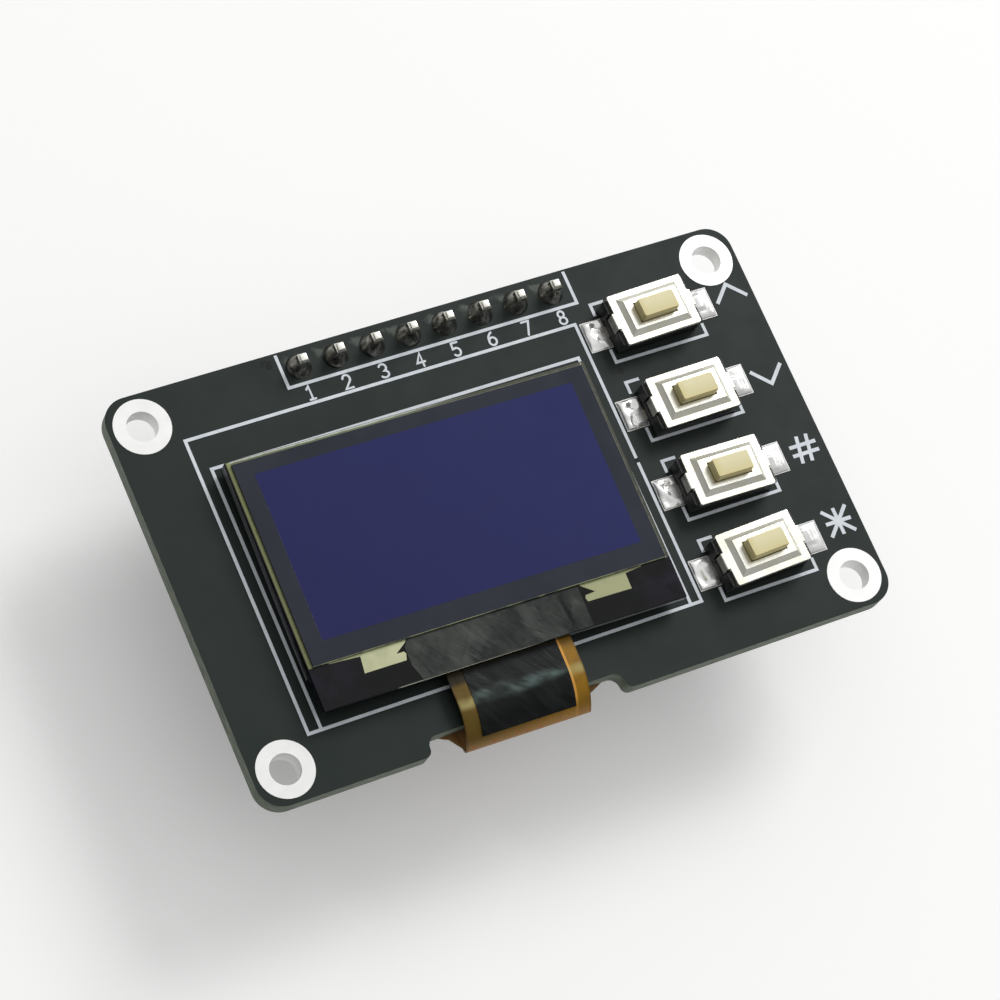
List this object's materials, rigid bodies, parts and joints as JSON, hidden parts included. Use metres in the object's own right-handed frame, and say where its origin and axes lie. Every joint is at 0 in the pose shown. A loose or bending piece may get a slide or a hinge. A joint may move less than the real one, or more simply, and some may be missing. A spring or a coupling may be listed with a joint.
{
  "type": "oled display module",
  "caption": "Small display module: circuit board with a glass display panel on a folded flex cable, a header pin row below, push switches beside the panel and corner mounting holes.",
  "frame": {"origin": "middle of the four mounting holes, on the board's back face", "axes": "+X along the header row towards the switches, +Y to the header edge, +Z out of the display face"},
  "size_m": [0.0442, 0.0278, 0.0124],
  "materials": {
    "fibreglass": "bare edge of a glass-fibre board",
    "solder_mask": "matt charcoal solder mask",
    "tinned_copper": "bright tinned copper",
    "print_ink": "thin white board print",
    "header_plastic": "black moulded strip",
    "pin_metal": "plated square pin",
    "dark_solder": "glossy solder cone",
    "bright_solder": "shiny solder mound",
    "foam": "black double-sided foam",
    "back_glass": "dark edge of the rear glass",
    "front_glass": "clear glass over a black chip and a dark board",
    "polarizer_film": "dark film with a satin face",
    "display_field": "unlit field of the display, dull blue",
    "silicon": "bare chip",
    "thin_metal_traces": "fine pale conductors",
    "dark_tape": "creased grey tape",
    "polyimide": "amber film over copper",
    "cable_tape": "black tape",
    "switch_base": "black moulded base",
    "switch_cover": "pale plated sheet steel",
    "switch_button": "cream moulded button",
    "spring_steel": "thin sprung dome",
    "contact_metal": "plated brass strip",
    "chip_black": "moulded chip package",
    "capacitor_ceramic": "tan ceramic",
    "resistor_black": "black glazed ceramic"
  },
  "bodies": {
    "module": {"board_core": "fibreglass", "front_mask": "solder_mask", "back_mask": "solder_mask", "mounting_rings": "tinned_copper", "printed_frames": "print_ink", "key_brackets": "print_ink", "key_symbols": "print_ink", "header_strip": "header_plastic", "header_pins": "pin_metal", "pin_pads": "tinned_copper", "pin_solder": "dark_solder", "foam_tape": "foam", "cap_glass": "back_glass", "front_glass": "front_glass", "polarizer": "polarizer_film", "active_area": "display_field", "driver_chip": "silicon", "trace_fields": "thin_metal_traces", "ledge_tape": "dark_tape", "flex_cable": "polyimide", "flex_tape": "cable_tape", "flex_joints": "tinned_copper", "key_pads": "tinned_copper", "key_solder": "bright_solder", "base_1": "switch_base", "cover_1": "switch_cover", "dome_1": "spring_steel", "contacts_1": "contact_metal", "base_2": "switch_base", "cover_2": "switch_cover", "dome_2": "spring_steel", "contacts_2": "contact_metal", "base_3": "switch_base", "cover_3": "switch_cover", "dome_3": "spring_steel", "contacts_3": "contact_metal", "base_4": "switch_base", "cover_4": "switch_cover", "dome_4": "spring_steel", "contacts_4": "contact_metal", "regulator_body": "chip_black", "regulator_leads": "tinned_copper", "capacitors": "capacitor_ceramic", "resistors": "resistor_black", "chip_ends": "tinned_copper", "back_pads": "tinned_copper"},
    "key_1": {"button_1": "switch_button"},
    "key_2": {"button_2": "switch_button"},
    "key_3": {"button_3": "switch_button"},
    "key_4": {"button_4": "switch_button"}
  },
  "joints": [
    {"name": "press_1", "type": "slide", "parent": "module", "child": "key_1", "axis": [0, 0, -1], "range_m": [0, 0.00025], "stiffness_N_per_m": 4000, "deforming": ["dome_1"]},
    {"name": "press_2", "type": "slide", "parent": "module", "child": "key_2", "axis": [0, 0, -1], "range_m": [0, 0.00025], "stiffness_N_per_m": 4000, "deforming": ["dome_2"]},
    {"name": "press_3", "type": "slide", "parent": "module", "child": "key_3", "axis": [0, 0, -1], "range_m": [0, 0.00025], "stiffness_N_per_m": 4000, "deforming": ["dome_3"]},
    {"name": "press_4", "type": "slide", "parent": "module", "child": "key_4", "axis": [0, 0, -1], "range_m": [0, 0.00025], "stiffness_N_per_m": 4000, "deforming": ["dome_4"]}
  ]
}
